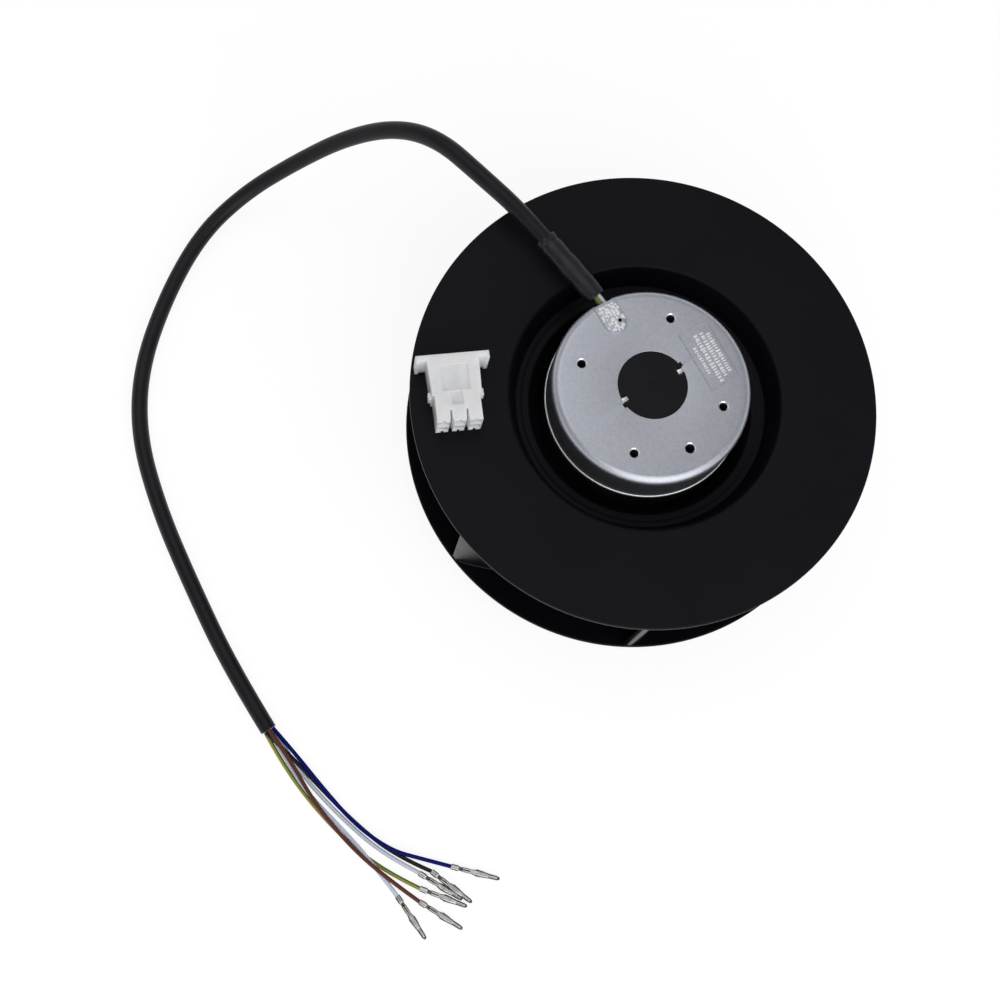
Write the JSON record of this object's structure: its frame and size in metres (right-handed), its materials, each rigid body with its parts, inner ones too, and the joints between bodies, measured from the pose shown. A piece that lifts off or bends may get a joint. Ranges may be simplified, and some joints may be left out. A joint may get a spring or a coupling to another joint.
{
  "type": "centrifugal fan",
  "caption": "Backward-curved centrifugal impeller on an external-rotor motor with a flanged stator, a sleeved cable with crimped leads and a loose connector housing",
  "frame": {"origin": "on the spin axis at the plane of the inlet lip, which is the lowest point", "axes": "+Z along the spin axis, from the inlet lip to the motor's mounting face; two of the four screw holes lie on X and two on Y"},
  "size_m": [0.306, 0.3212, 0.0844],
  "materials": {
    "cast_aluminium": "fine-grain matte die casting",
    "black_polymer": "glass-filled black polymer, matte",
    "cap_polymer": "smooth black polymer, satin",
    "rotor_steel": "black-coated drawn steel",
    "lamination_steel": "stacked electrical steel",
    "winding_copper": "enamelled copper wire, laced",
    "bearing_steel": "ground bearing steel",
    "shaft_steel": "ground steel",
    "sleeve_black": "satin black sleeving",
    "collar_black": "semi-gloss heat-shrunk tube",
    "bundle_insulation": "insulated leads side by side",
    "insulation_green_yellow": "green insulation with a yellow stripe",
    "insulation_brown": "brown insulation",
    "insulation_blue": "dark blue insulation",
    "insulation_black": "black insulation",
    "insulation_white": "white insulation",
    "tinned_contact": "tin-plated, crimped",
    "housing_nylon": "natural milky nylon"
  },
  "bodies": {
    "stator": {"stator_flange": "cast_aluminium", "centre_cap": "cap_polymer", "stator_core": "lamination_steel", "winding_upper_end_turns": "winding_copper", "winding_lower_end_turns": "winding_copper", "upper_bearing_outer": "bearing_steel", "lower_bearing_outer": "bearing_steel", "lead_outlet_bundle": "bundle_insulation", "cable_collar": "collar_black", "cable_sleeve": "sleeve_black", "lead_green_yellow": "insulation_green_yellow", "lead_brown": "insulation_brown", "lead_blue": "insulation_blue", "lead_black": "insulation_black", "lead_white_upper": "insulation_white", "lead_white_lower": "insulation_white", "contact_green_yellow": "tinned_contact", "contact_brown": "tinned_contact", "contact_blue": "tinned_contact", "contact_black": "tinned_contact", "contact_white_upper": "tinned_contact", "contact_white_lower": "tinned_contact"},
    "impeller": {"impeller_back_disc": "black_polymer", "impeller_shroud": "black_polymer", "impeller_blade_1": "black_polymer", "impeller_blade_2": "black_polymer", "impeller_blade_3": "black_polymer", "impeller_blade_4": "black_polymer", "impeller_blade_5": "black_polymer", "impeller_blade_6": "black_polymer", "impeller_blade_7": "black_polymer", "rotor_can": "rotor_steel", "shaft": "shaft_steel", "upper_bearing_inner": "bearing_steel", "lower_bearing_inner": "bearing_steel", "shaft_snap_ring": "shaft_steel"},
    "connector": {"connector_housing": "housing_nylon"}
  },
  "joints": [
    {"name": "impeller_spin", "type": "hinge", "parent": "stator", "child": "impeller", "pos_m": [0, 0, 0.05], "axis": [0, 0, 1], "continuous": true},
    {"name": "connector_lift", "type": "slide", "parent": "stator", "child": "connector", "axis": [0, 0, 1], "range_m": [0, 0.06]}
  ]
}
